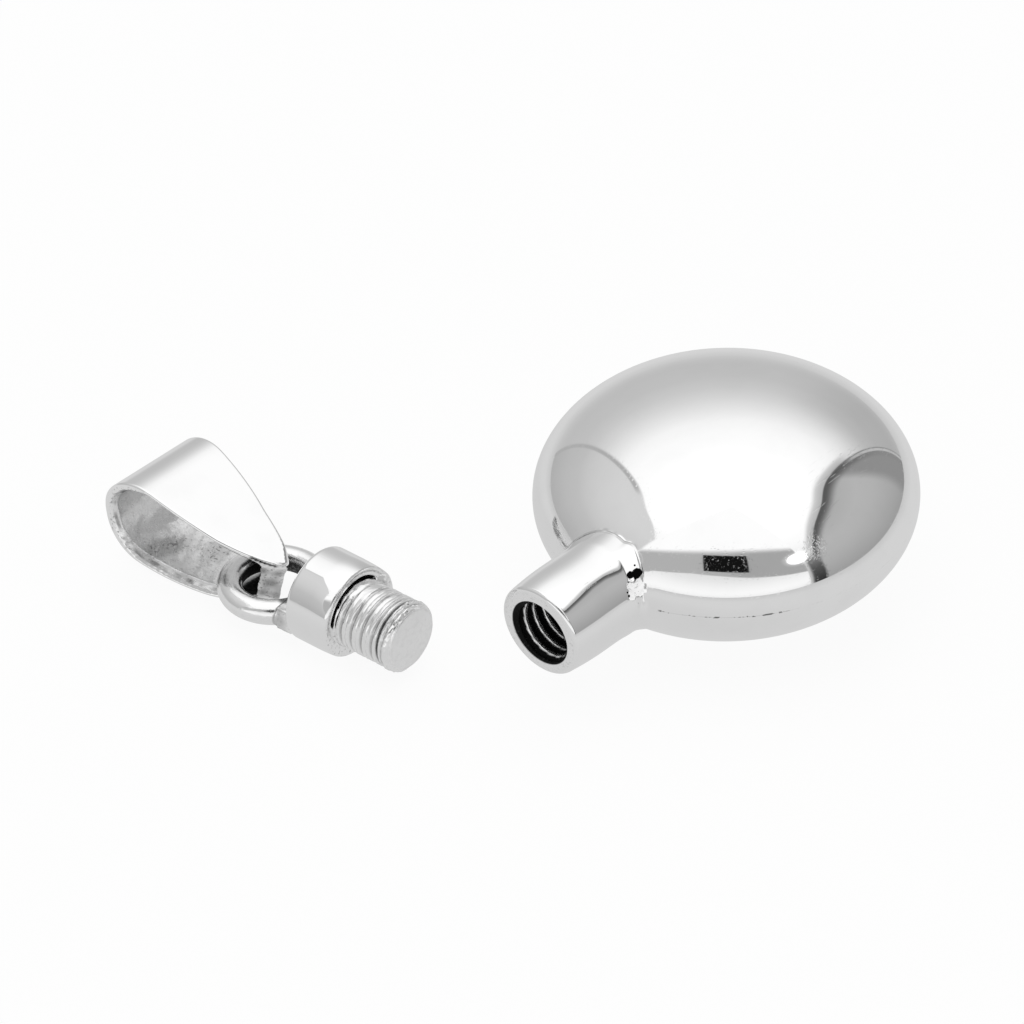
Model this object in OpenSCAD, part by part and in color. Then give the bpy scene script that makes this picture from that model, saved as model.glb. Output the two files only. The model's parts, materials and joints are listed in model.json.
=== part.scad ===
// Perfume bottle pendant: a hollow round bottle with a screw neck, and beside it the screw
// stopper that was taken off, with its soldered eye and the bail that hangs in the eye.
// All three pieces lie on the surface z = 0, as they rest by themselves. Millimetres, +Z up.

/* [Bottle body] */
// Diameter of the round body across its seam
body_d = 21; // [19:0.5:24]
// Thickness of the body from one dome to the other
body_t = 11.4; // [10.6:0.1:12.4]
// Radius of the rounded rim where the two domes meet
rim_r = 3.7; // [3.4:0.1:4.3]
// Thickness of the metal of the two domes
body_wall = 0.8; // [0.6:0.1:1.2]

/* [Neck] */
// Outside diameter of the neck tube
neck_d = 5.4; // [5.2:0.1:5.8]
// Distance from the middle of the body to the mouth of the neck
mouth_x = 15.2; // [14.6:0.1:16]
// Radius that rounds the outer edge of the mouth
mouth_round = 0.2; // [0.1:0.05:0.3]
// How far the solder bead stands out from the neck and from the body
bead = 0.3; // [0.2:0.05:0.4]

/* [Screw thread] */
// Nominal diameter of the thread
thread_d = 4; // [3.8:0.1:4.2]
// Distance from one turn of the thread to the next
pitch = 0.7; // [0.6:0.05:0.75]
// Diameter of the smooth bore that the thread in the neck is cut into
bore_d = 3.3; // [3.2:0.05:3.4]
// Diameter at the bottom of the thread on the stem
root_d = 3.1; // [3:0.05:3.15]
// Radial play between the stem's thread and the neck's thread
thread_play = 0.02; // [0.01:0.01:0.05]

/* [Stopper] */
// Outside diameter of the collar
collar_d = 5.4; // [5.2:0.1:5.8]
// Length of the collar
collar_l = 2.9; // [2.5:0.1:3.4]
// Length of the stem in front of the collar
stem_l = 3.8; // [3.4:0.1:4.2]
// Chamfer on the stem's end
stem_chamfer = 0.25; // [0.15:0.05:0.35]
// Diameter of the open pocket beside the stem in the collar's front
pocket_d = 4.5; // [4.4:0.1:4.7]
// Depth of that pocket
pocket_depth = 0.9; // [0.6:0.1:1.2]
// Where the pocket begins round the axis, from the underside
pocket_from = 125; // [110:5:140]
// How far the pocket runs round the axis; solder fills the rest
pocket_angle = 145; // [130:5:160]
// Radius that rounds the collar's front edge
collar_front_round = 0.15; // [0.1:0.05:0.3]
// Radius that rounds the collar's back edge
collar_back_round = 0.3; // [0.2:0.05:0.4]

/* [Eye] */
// Diameter of the eye's round wire
eye_wire = 1.4; // [1.2:0.05:1.5]
// Diameter of the eye along the middle of its wire
eye_d = 4.9; // [4.7:0.1:5]
// Distance from the collar's back to the middle of the eye
eye_back = 3; // [2.9:0.05:3.2]
// How far the eye was soldered below the collar's axis
eye_drop = 1; // [0.6:0.1:1.1]
// Width of the solder foot between the collar and the eye
foot_w = 4; // [3:0.1:4.4]

/* [Bail] */
// Thickness of the band that the bail is folded from
band_t = 0.65; // [0.5:0.05:0.7]
// Width of the band at the fold
band_w = 5.9; // [5.4:0.1:6.2]
// Outside radius of the fold
fold_r = 2.8; // [2.6:0.05:3]
// Distance from the closed tip to the middle of the fold
fold_x = 7.7; // [7.3:0.1:8.3]
// Height of the closed tip, front plate and back plate together
tip_h = 2.9; // [2.7:0.1:3.1]
// Thickness of the closed end
tip_wall = 0.9; // [0.6:0.1:0.9]
// Radius of the gentle bow of the front plate
front_bow_r = 45; // [35:1:80]
// Radius of the bow of the back plate
back_bow_r = 28; // [24:1:60]

/* [Rest] */
// Where the middle of the body lies, seen from above
bottle_at = [11.71, 1.26]; // [-30:0.01:30]
// Direction that the neck points to, seen from above
neck_turn = 228; // [222:1:234]
// How far the neck dips, because its weight tips the round body
neck_dip = 3.3; // [2:0.1:4]
// Where the front of the collar lies, seen from above
stopper_at = [-8.15, -5.44]; // [-30:0.01:30]
// Direction that the stem points to, seen from above
stem_turn = -39; // [-42:1:-36]
// Where the closed tip of the bail lies
bail_at = [-12.61, -1.64, 1.52]; // [-30:0.01:30]
// Direction from the bail's tip to its fold, seen from above
bail_turn = 138.5; // [137:0.5:140]
// Slope of the bail's middle line, from tip to fold
bail_rise = 13; // [11:0.5:14]

/* [Hidden] */
$fn = 96;
// How far cutters reach past the metal, and how far joined shapes run into each other.
slack = 1;
overlap = 0.2;

body_r = body_d / 2;
body_h = body_t / 2;
neck_r = neck_d / 2;
bore_r = bore_d / 2;
stem_r = thread_d / 2 - thread_play;
root_r = root_d / 2;
collar_r = collar_d / 2;
band_h = tip_h / 2;

// The body's section is an oval of four arcs that run smoothly into each other. The middle of
// each dome's arc lies dome_c beyond the body's middle, on the far side.
rim_x = body_r - rim_r;
dome_c = (rim_x * rim_x - pow(body_h - rim_r, 2)) / (2 * (body_h - rim_r));
dome_r = body_h + dome_c;
// The lowest point of the dipped body is on the lower dome.
bottle_z = dome_r - dome_c * cos(neck_dip);

// Flanks of the thread: each leans 30 degrees, with a flat of an eighth of the pitch at its root.
thread_flat = pitch / 8;
function groove_open(depth) = thread_flat + 2 * depth * tan(30);

// Runs a shape made along +Z along +X instead.
module along_x() rotate([0, 90, 0]) children();

// Half of the oval section, moved inwards by the given distance.
module half_oval(inset) {
  // The arcs meet on the line from the dome's middle through the rim's middle.
  past_joint = [rim_x, dome_c] / norm([rim_x, dome_c]) * 2 * rim_r;
  translate([rim_x, 0]) circle(rim_r - inset);
  intersection() {
    translate([0, -dome_c]) circle(dome_r - inset, $fn = 360);
    translate([0, dome_c]) circle(dome_r - inset, $fn = 360);
    polygon([
      [0, -body_h - slack], [rim_x + past_joint[0], -past_joint[1]],
      [rim_x, 0], [rim_x + past_joint[0], past_joint[1]], [0, body_h + slack]]);
  }
}

// A solid of the body's shape, moved inwards by the given distance.
module oval_solid(inset) {
  rotate_extrude() intersection() {
    half_oval(inset);
    translate([0, -body_d]) square([body_d, 2 * body_d]);
  }
}

// A round bar along +Z whose far edge is rounded.
module rounded_bar(r, from, to, round_r) {
  rotate_extrude() {
    translate([0, from]) square([r, to - from - round_r]);
    translate([0, from]) square([r - round_r, to - from]);
    intersection() {
      translate([r - round_r, to - round_r]) circle(round_r);
      translate([0, from]) square([r, to - from]);
    }
  }
}

// One turn of a thread as a plain ring-shaped cutter: wide at open_r, narrow at root_at.
module groove(open_r, root_at, at) {
  depth = abs(root_at - open_r);
  past = sign(open_r - root_at) * overlap;
  half_open = groove_open(depth + overlap) / 2;
  translate([0, 0, at]) rotate_extrude() polygon([
    [root_at, -thread_flat / 2], [root_at, thread_flat / 2],
    [open_r + past, half_open], [open_r + past, -half_open]]);
}

// The bottle: two domes and a neck tube soldered into one hollow piece. The neck runs along +X.
module bottle_piece() {
  neck_from = rim_x;
  mouth_cone = thread_d / 2 - bore_r;
  // The grooves run from the mouth inwards, as far as the body's outside.
  first_groove = mouth_x - mouth_cone - pitch / 2;
  turns = floor((first_groove - body_r) / pitch) + 1;
  difference() {
    union() {
      oval_solid(0);
      along_x() rounded_bar(neck_r, neck_from, mouth_x, mouth_round);
      intersection() {
        oval_solid(-bead);
        along_x() translate([0, 0, neck_from]) cylinder(r = neck_r + bead, h = neck_r * 2);
      }
    }
    oval_solid(body_wall);
    along_x() {
      translate([0, 0, neck_from]) cylinder(r = bore_r, h = mouth_x);
      translate([0, 0, mouth_x - mouth_cone])
        cylinder(r1 = bore_r, r2 = bore_r + 2 * mouth_cone, h = 2 * mouth_cone);
      for (i = [0:turns - 1]) groove(bore_r, thread_d / 2, first_groove - i * pitch);
    }
  }
}

// The collar of the stopper, a thick disc along +X that ends at x = 0. Its front has an open pocket
// beside the stem.
module collar() {
  difference() {
    along_x() union() {
      rounded_bar(collar_r, -collar_l / 2, 0, collar_front_round);
      mirror([0, 0, 1]) rounded_bar(collar_r, 0, collar_l, collar_back_round);
    }
    along_x() rotate([0, 0, pocket_from]) rotate_extrude(angle = pocket_angle)
      translate([root_r, -pocket_depth]) square([pocket_d / 2 - root_r, pocket_depth + slack]);
  }
}

// The threaded stem, along +X from x = 0.
module stem() {
  turns = floor((stem_l - stem_chamfer) / pitch);
  along_x() difference() {
    rotate_extrude() polygon([
      [0, -overlap], [root_r, -overlap], [root_r, 0], [stem_r, 0],
      [stem_r, stem_l - stem_chamfer], [stem_r - stem_chamfer, stem_l], [0, stem_l]]);
    for (i = [1:turns]) groove(stem_r, root_r, (i - 0.5) * pitch);
  }
}

// The eye: a ring of round wire behind the collar, and the foot of solder that joins it to the collar.
module eye() {
  foot_reach = eye_back - eye_d / 2 + eye_wire / 3;
  foot_t = eye_wire * 0.9;
  translate([-collar_l, 0, 0]) {
    translate([-eye_back, 0, -eye_drop]) rotate_extrude() translate([eye_d / 2, 0]) circle(eye_wire / 2);
    intersection() {
      along_x() translate([0, 0, -foot_reach]) cylinder(r = collar_r - bead, h = foot_reach + overlap);
      translate([-foot_reach, -foot_w / 2, -eye_drop - foot_t / 2])
        cube([foot_reach + overlap, foot_w, foot_t]);
    }
  }
}

// Side outline of the bail, tip at x = 0, moved inwards by the given distance. Each plate follows
// an arc from the tip to the fold's circle, which it meets smoothly.
module bail_side(inset) {
  front = bow_centre(front_bow_r);
  back = bow_centre(back_bow_r);
  fold = [fold_x, 0];
  far = 2 * fold_r;
  translate(fold) circle(fold_r - inset);
  intersection() {
    translate(front) circle(front_bow_r - inset, $fn = 720);
    mirror([0, 1]) translate(back) circle(back_bow_r - inset, $fn = 720);
    polygon([
      [0, -far], [0, far],
      fold + far * unit(fold - front), fold, fold + far * flip(unit(fold - back))]);
  }
}

function unit(p) = p / norm(p);
function flip(p) = [p[0], -p[1]];
// Middle of an arc of radius r that passes the tip's corner and touches the fold's circle from outside.
function bow_centre(r) =
  let (tip = [0, band_h], to_fold = [fold_x, 0] - tip, d = norm(to_fold),
    along = (r * r - pow(r - fold_r, 2) + d * d) / (2 * d),
    across = sqrt(r * r - along * along))
  tip + unit(to_fold) * along + [unit(to_fold)[1], -unit(to_fold)[0]] * across;

// Half width of the band at a distance from the tip: blunt at the tip, then widening to the fold.
// The power gives the blunt shape.
blunt = 0.67;
function half_band(x) = band_w / 2 * pow(1 - pow(max(1 - x / (fold_x + fold_r), 0), 2), blunt);

// The bail: one band folded over, its two ends joined at the tip. The fold points along +X.
module bail_piece() {
  steps = 24;
  length = fold_x + fold_r;
  rim = [for (i = [0:steps]) length * pow(i / steps, 1.6)];
  intersection() {
    rotate([90, 0, 0]) linear_extrude(2 * band_w, center = true) difference() {
      bail_side(0);
      intersection() {
        bail_side(band_t);
        translate([tip_wall, -length]) square([2 * length, 2 * length]);
      }
    }
    linear_extrude(4 * fold_r, center = true) polygon(concat(
      [for (x = rim) [x, half_band(x)]],
      [for (i = [steps:-1:1]) [rim[i], -half_band(rim[i])]]));
  }
}

module bottle() color("silver")
  translate([bottle_at[0], bottle_at[1], bottle_z]) rotate([0, neck_dip, neck_turn]) bottle_piece();

module stopper() color("gainsboro")
  translate([stopper_at[0], stopper_at[1], collar_r]) rotate([0, 0, stem_turn]) {
    collar();
    stem();
    eye();
  }

module bail() color("lightgray")
  translate(bail_at) rotate([0, -bail_rise, bail_turn]) bail_piece();

bottle();
stopper();
bail();
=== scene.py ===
"""Looks of the perfume bottle pendant: polished silver, lying taken apart on a pale floor.

The round bottle, its screw stopper and the bail are each one mesh, built in its own frame in
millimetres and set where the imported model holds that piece.
"""
import json
import math

import bpy
import numpy as np
from mathutils import Matrix, Vector


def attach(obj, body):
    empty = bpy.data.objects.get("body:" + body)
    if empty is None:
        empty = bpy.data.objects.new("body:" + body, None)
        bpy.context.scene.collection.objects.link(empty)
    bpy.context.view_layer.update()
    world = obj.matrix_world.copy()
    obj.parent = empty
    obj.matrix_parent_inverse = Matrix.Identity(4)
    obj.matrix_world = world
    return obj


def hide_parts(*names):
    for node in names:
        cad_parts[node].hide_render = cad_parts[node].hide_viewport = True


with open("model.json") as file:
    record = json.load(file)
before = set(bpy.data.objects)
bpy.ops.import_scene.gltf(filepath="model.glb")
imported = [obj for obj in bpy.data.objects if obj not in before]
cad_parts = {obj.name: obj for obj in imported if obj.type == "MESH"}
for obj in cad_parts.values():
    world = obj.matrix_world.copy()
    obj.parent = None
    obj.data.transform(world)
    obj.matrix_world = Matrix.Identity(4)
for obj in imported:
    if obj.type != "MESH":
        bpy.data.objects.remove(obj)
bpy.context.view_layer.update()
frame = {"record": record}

MM = 0.001
TURN = 2 * math.pi

# Bottle, in millimetres: its middle is the origin and the neck runs along +X.
BODY_R = 10.5
BODY_H = 5.7
BODY_WALL = 0.8
NECK_R = 2.78
NECK_FLARE = 0.06
NECK_FLARE_X = 11.6
NECK_FLARE_L = 1.4
NECK_TAPER = 0.16
NECK_TAPER_L = 2.6
MOUTH_X = 15.2
MOUTH_ROUND = 0.25
MOUTH_BORE_R = 1.95
HOLLOW_BORE_R = 1.8
# The neck's outside leans against its bore's axis: it lies this far off along Z at the mouth
# and at the body.
NECK_OFFSET = (0.08, -0.15)
# The neck is polished a little flatter at this turn: by this much its shading turns there.
FLAT_TURN = math.radians(57)
FLAT_BY = math.radians(3.4)
# The solder at the neck is a tight fillet, wider low on the +Y side, and high on that side it
# stands up on the neck as a short cone.
FILLET_R = 0.16
SIDE_FILLET_R = 1.25
SIDE_FILLET_TURN = math.radians(-60)
CONE_RISE = 0.22
CONE_L = 0.85
CONE_TURN = math.radians(50)
# Open pit in the solder: its two lobes and the specks beside them, with their radii.
SOLDER_PIT = [
    ((10.26, 2.09, 1.89), 0.2), ((9.92, 2.26, 1.86), 0.27), ((9.74, 1.95, 2.15), 0.06),
    ((10.55, 2.2, 1.67), 0.05), ((10.9, 2.54, 1.1), 0.07), ((10.9, 2.43, 1.28), 0.05)]
# Patch of pitted solder below the pit: where it starts and ends, and the way it faces.
PATCH_X = (9.9, 10.85)
PATCH_TURN = (math.radians(20), math.radians(37))
PATCH_FACING = (0.625, 0.587, 0.515)
# Scuffed spots on the upper dome.
SCUFF = (3.1, 8.75, 2.65)
RUBBED = (7.0, 6.0, 2.7)
# The mount in the neck's thread lies this far from the body's middle.
NECK_MOUNT_X = 12.1

# Screw thread.
PITCH = 0.7
BORE_R = 1.65
THREAD_R = 2.0
BORE_FROM = 9.4

# Meshes: points in each ring of the bottle, rings in each stretch of its surface, the distance
# between the thread's rings, and for the other two pieces the cells in which they are meshed
# and the room round them there.
SEGMENTS = 208
RINGS = {"body": 130, "fillet": 22, "cone": 12, "neck": 32, "lip": 8, "hollow": 40}
THREAD_STEP = 0.04
CELL = 0.06
ROOM = 0.15

# Stopper: the collar's front is at x = 0 and the stem runs along +X. Angles round the stem are in
# degrees: 0 below, 90 on the far side, 180 on top and 270 on the near side.
COLLAR_R = 2.7
COLLAR_L = 2.9
COLLAR_FRONT_ROUND = 0.15
COLLAR_BACK_ROUND = 0.3
STEM_R = 1.98
STEM_L = 3.8
STEM_CHAMFER = 0.25
# At the collar's front an open pocket lies beside the stem, and further round a bead of solder.
POCKET_R = 2.17
POCKET_DEPTH = 0.9
POCKET_ANGLES = (137, 258)
SOLDER_ANGLES = (70, 115)
SOLDER_BEAD = 0.28
RING_LINE_R = 2.38
COLLAR_CROWN = 0.16
COLLAR_CROWN_L = 1.3
GROOVE_DEPTH = 0.15
GROOVE_HALF_W = 0.15
GROOVE_PHASE = 0.14
LAST_GROOVE_X = 3.05
LAST_GROOVE_DEPTH = 0.2
EYE_R = 2.45
EYE_WIRE_R = 0.7
EYE_BACK = 3.0
EYE_DROP = 1.0
FOOT_HALF_W = 2.2
FOOT_HALF_H = 0.68
FOOT_L = 1.0
FOOT_ROUND = 0.12
# The mount on the stem lies this far in front of the collar.
STEM_MOUNT_X = 1.8

# Bail: its closed tip is at x = 0 and the fold is at the far end along +X.
BAND_T = 0.65
BAND_EDGE_T = 0.22
BAND_HALF_W = 2.95
FOLD_R = 2.8
FOLD_X = 7.7
TIP_HALF_H = 1.45
TIP_WALL = 0.9
FRONT_BOW_R = 45
BACK_BOW_R = 28
BLUNT = 0.67
TIP_LEAN = 0.38
TIP_LEAN_L = 3.2
# A facet takes off the tip's corner on the far side of its front: the way it faces, and its
# distance from the bail's origin.
TIP_FACET_FACING = (-0.61, -0.56, 0.56)
TIP_FACET_AT = 1.02
# The front is filed flat towards the tip.
TIP_FILED = 0.12
TIP_FILED_L = 3.6
BAIL_RISE = math.radians(13)

# Camera, in millimetres: it looks down at the photograph's angle.
CAMERA_AT = (0.115, -213.54, 164.47)
CAMERA_TO = (0.115, 7.116, 0)
SENSOR = 36
LENS = 173.3

# Panels in the light tent: azimuth of the middle, reach to the left and to the right and height
# of the top, in degrees, and the power that shapes the outline. In the tent azimuth 0 is away
# from the camera and 90 is on its right, and greys are 0 to 255 as silver shows them.
RIGHT_PANEL = (80, 38, 52, 56.7, 3)
LEFT_PANEL = (-85, 48.6, 48.6, 58.7, 2.9)
LAMP_AZIMUTH = math.radians(137.5)
LAMP_HEIGHT = math.radians(38)


def ramp(value, low, high):
    """0 at low, 1 at high and smooth between, also where high is the smaller one."""
    t = np.clip((value - low) / (high - low), 0, 1)
    return t * t * (3 - 2 * t)


def window(value, low, high, soft):
    """1 between low and high, falling smoothly to 0 over soft outside them."""
    return ramp(value, low - soft, low) * ramp(value, high + soft, high)


def ripple(points, wavelength, seed, waves=14):
    """Smooth noise of about -1 to 1: sine waves in seeded directions, summed."""
    rng = np.random.default_rng(seed)
    directions = rng.normal(size=(waves, 3))
    directions /= np.linalg.norm(directions, axis=1)[:, None]
    lengths = wavelength * rng.uniform(0.7, 1.5, waves)
    phases = rng.uniform(0, TURN, waves)
    total = 0
    for direction, length, phase in zip(directions, lengths, phases):
        total = total + np.sin(points @ (direction * TURN / length) + phase)
    return total / math.sqrt(waves)


def placement(at, along):
    """The frame of a piece: +X runs along the given direction and +Y stays level."""
    x = Vector(along).normalized()
    y = Vector((0, 0, 1)).cross(x).normalized()
    return Matrix.Translation(at) @ Matrix((x, y, x.cross(y))).transposed().to_4x4()


def mount(name):
    """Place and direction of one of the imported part's mounts."""
    found = next(m for m in frame["record"]["mounts"] if m["name"] == name)
    return Vector(found["pos_m"]), Vector(found["axis"]).normalized()


def add_piece(name, node, place, points, faces, normals, masks):
    """Makes a mesh object of points in millimetres, with a float attribute for each mask. The
    points' own places before they are set down stay in an attribute, for the material."""
    turn = np.array(place.to_3x3())
    set_down = points @ turn.T + np.array(place.translation) / MM
    normals = normals @ turn.T
    mesh = bpy.data.meshes.new(name)
    mesh.from_pydata((set_down * MM).tolist(), [], faces)
    mesh.update()
    own = mesh.attributes.new("own_place", "FLOAT_VECTOR", "POINT").data
    own.foreach_set("vector", points.astype(np.float32).ravel())
    for layer, values in masks.items():
        data = mesh.attributes.new(layer, "FLOAT", "POINT").data
        data.foreach_set("value", np.clip(values, 0, 1).astype(np.float32))
    mesh.shade_smooth()
    mesh.normals_split_custom_set_from_vertices(normals.tolist())
    piece = bpy.data.objects.new(name, mesh)
    bpy.context.scene.collection.objects.link(piece)
    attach(piece, "root")
    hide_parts(node)
    node + "_silver"
    return piece


# Bottle


def thread_radius(x, turn):
    """Radius of the neck's helical thread at x and at an angle round the axis."""
    phase = (x / PITCH - turn / TURN) % 1
    from_root = abs(phase - 0.5) * PITCH
    flank_l = (THREAD_R - BORE_R) * math.tan(math.radians(30))
    flank = np.clip((from_root - PITCH / 16) / flank_l, 0, 1)
    return THREAD_R + (BORE_R - THREAD_R) * flank


def oval_at(turn, long_r, short_r):
    """Half width of the flattened body in the direction of each angle round the neck's axis."""
    return 1 / np.sqrt((np.cos(turn) / long_r) ** 2 + (np.sin(turn) / short_r) ** 2)


def fillet_start(width, radius, neck_r):
    """Where a fillet that touches the neck also touches the body, as the oval's own angle. It is
    found by halving the range that holds it."""
    halvings = 40
    low = np.zeros_like(width)
    high = np.full_like(width, math.pi / 2)
    for _ in range(halvings):
        t = (low + high) / 2
        _, nr = oval_normal(t, width)
        above = width * np.sin(t) + radius * nr > neck_r + radius
        high = np.where(above, t, high)
        low = np.where(above, low, t)
    return t


def oval_normal(t, width):
    """Outward direction of the body at its oval's own angle: its parts along and across the
    neck's axis."""
    nx = np.cos(t) / BODY_R
    nr = np.sin(t) / width
    length = np.hypot(nx, nr)
    return nx / length, nr / length


def neck_radius(x):
    """The neck widens a little towards the body and narrows towards its mouth."""
    flare = NECK_FLARE * np.clip((NECK_FLARE_X - x) / NECK_FLARE_L, 0, 1) ** 2
    taper = NECK_TAPER * np.clip((x - MOUTH_X + NECK_TAPER_L) / NECK_TAPER_L, 0, 1) ** 2
    return NECK_R + flare - taper


def shares(stretch):
    """How far along its stretch each ring lies, from just after 0 to 1."""
    return np.linspace(0, 1, RINGS[stretch] + 1)[1:]


def bottle_rings(turn):
    """Rings of the bottle's surface, from the far pole over the outside and through the neck
    into the hollow. Each is the name of its stretch, and an x and a radius for every angle."""
    width = oval_at(turn, BODY_R, BODY_H)
    circle = np.stack([np.zeros_like(turn), np.cos(turn), np.sin(turn)], -1)
    side = ramp(np.cos(turn - SIDE_FILLET_TURN), 0.2, 0.8)
    radius = FILLET_R + (SIDE_FILLET_R - FILLET_R) * side
    radius = radius * (1 + 0.02 * ripple(circle, 1.1, 3, 8))
    rise = CONE_RISE * ramp(np.cos(turn - CONE_TURN), 0.89, 0.98)
    join_r = NECK_R + NECK_FLARE + rise
    touch = fillet_start(width, radius, join_r)
    nx, nr = oval_normal(touch, width)
    fillet_x = BODY_R * np.cos(touch) + radius * nx
    for s in shares("body"):
        t = math.pi + s * (touch - math.pi)
        yield "body", BODY_R * np.cos(t), width * np.sin(t)
    from_angle = np.arctan2(-nr, -nx)
    for s in shares("fillet"):
        a = from_angle + s * (-math.pi / 2 - from_angle)
        yield "fillet", fillet_x + radius * np.cos(a), join_r + radius + radius * np.sin(a)
    for s in shares("cone"):
        x = fillet_x + s * CONE_L
        yield "cone", x, join_r + (neck_radius(x) - join_r) * s
    end = MOUTH_X - MOUTH_ROUND
    for s in shares("neck"):
        x = fillet_x + CONE_L + s * (end - fillet_x - CONE_L)
        yield "neck", x, neck_radius(x)
    lip = neck_radius(np.full_like(turn, end)) - MOUTH_ROUND
    for s in shares("lip"):
        a = math.pi / 2 * (1 - s)
        yield "lip", end + MOUTH_ROUND * np.cos(a) + 0 * turn, lip + MOUTH_ROUND * np.sin(a)
    for s in (0.02, 0.1, 0.3, 0.5, 0.7, 0.9, 0.98, 1):
        yield "face", MOUTH_X + 0 * turn, lip + s * (MOUTH_BORE_R - lip)
    for i in range(1, round((MOUTH_X - BORE_FROM) / THREAD_STEP) + 1):
        x = MOUTH_X - i * THREAD_STEP + 0 * turn
        lead_in = MOUTH_BORE_R - (MOUTH_X - x)
        yield "thread", x, np.maximum(thread_radius(x, turn), lead_in)
    inner_r = BODY_R - BODY_WALL
    inner_width = oval_at(turn, inner_r, BODY_H - BODY_WALL)
    first = np.arcsin(HOLLOW_BORE_R / inner_width)
    for s in (0.3, 0.6, 0.9):
        x = BORE_FROM + s * (inner_r * np.cos(first) - BORE_FROM)
        yield "hollow", x, HOLLOW_BORE_R + 0 * turn
    for s in np.linspace(0, 1, RINGS["hollow"], endpoint=False):
        t = first + s * (math.pi - first)
        yield "hollow", inner_r * np.cos(t), inner_width * np.sin(t)


def grid_normals(grid):
    """Outward normals of a grid of rings, allowing for uneven distances between the rings."""
    step = np.diff(grid, axis=0)
    length = np.linalg.norm(step, axis=2, keepdims=True) + 1e-9
    before = np.concatenate([step[:1], step]) / np.concatenate([length[:1], length])
    after = np.concatenate([step, step[-1:]]) / np.concatenate([length, length[-1:]])
    back = np.concatenate([length[:1], length])
    ahead = np.concatenate([length, length[-1:]])
    along = (before * ahead + after * back) / (back + ahead)
    around = np.roll(grid, -1, axis=1) - np.roll(grid, 1, axis=1)
    normal = np.cross(around, along)
    return normal / np.linalg.norm(normal, axis=2, keepdims=True)


def solder_patch(grid, x, radius, turn, stretch):
    """How much a place lies in the patch of pitted solder at the neck, from 0 to 1."""
    uneven = 0.06 * ripple(grid, 0.5, 13)
    patch = window(x + uneven, *PATCH_X, 0.1) * ramp(radius, 2.4, 2.5) * (stretch != "body")
    return patch * window(turn + uneven, *PATCH_TURN, math.radians(3))


def neck_lean(x, radius):
    """How far the neck's outside and the solder round it lie off the axis along Z."""
    at_mouth, at_body = NECK_OFFSET
    off = at_body + (at_mouth - at_body) * np.clip((x - 10.4) / 4.4, 0, 1)
    return off * ramp(radius, 2.1, 2.5) * ramp(radius, 3.6, 3.0) * ramp(x, 8.9, 9.8)


def bottle_shading(normal, x, turn, stretch, patch):
    """Normals with the neck's flatter stretch, and with the patch turned to where it faces."""
    flatter = np.exp(-(((turn - FLAT_TURN) / 0.4) ** 2)) * ramp(x, 10.2, 10.6)
    flatter = FLAT_BY * flatter * (stretch == "neck")
    nx, ny, nz = np.moveaxis(normal, -1, 0)
    cos, sin = np.cos(flatter), np.sin(flatter)
    normal = np.stack([nx, ny * cos - nz * sin, ny * sin + nz * cos], -1)
    normal = normal + 0.85 * patch[:, :, None] * (PATCH_FACING - normal)
    return normal / np.linalg.norm(normal, axis=2, keepdims=True)


def bottle_masks(x, radius, turn, stretch, solder, patch, lumps):
    """Finish masks of the bottle's rings, padded for the two poles."""
    # Thread crests catch the light on the side that faces the mouth, and the rest is painted black as
    # shade.
    phase = (x / PITCH - turn / TURN + 0.5) % 1 - 0.5
    crest = window(phase, -0.02, 0.2, 0.03) * (radius < THREAD_R - 0.1)
    crest = crest * ramp(x, MOUTH_X - 0.3, MOUTH_X - 0.5)
    # A faint dark line runs along the joint above.
    above = window(turn, math.radians(68), math.radians(150), math.radians(8))
    grime_and_shade = np.where(stretch == "fillet", 0.35 * above * np.clip(0.8 + 0.5 * lumps, 0, 1), 0.0)
    grime_and_shade = np.where(stretch == "thread", 1 - 0.95 * crest, grime_and_shade)
    # The hollow inside the body is painted black as shade.
    grime_and_shade = np.where(stretch == "hollow", 1.0, grime_and_shade)
    matte = np.maximum(0.12 * solder, 0.3 * patch)
    matte = np.where(stretch == "face", 0.4, matte)
    matte = np.where(stretch == "lip", 0.15, matte)
    matte = np.where((stretch == "thread") | (stretch == "hollow"), 0.6, matte)
    pitted = np.where(stretch == "face", 0.25, 0.3 * patch)
    masks = {"matte": matte, "grime_and_shade": grime_and_shade, "pitted": pitted}
    return {name: np.pad(values.ravel(), 1) for name, values in masks.items()}


def ring_faces(rings):
    """Faces of a closed surface of rings, with a pole before the first ring and after the last."""
    last_ring = 1 + (rings - 1) * SEGMENTS
    far_pole = last_ring + SEGMENTS
    faces = []
    for j in range(SEGMENTS):
        k = (j + 1) % SEGMENTS
        faces.append((0, 1 + k, 1 + j))
        faces.append((far_pole, last_ring + j, last_ring + k))
        for ring in range(1, last_ring, SEGMENTS):
            faces.append((ring + j, ring + k, ring + SEGMENTS + k, ring + SEGMENTS + j))
    return faces


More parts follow.
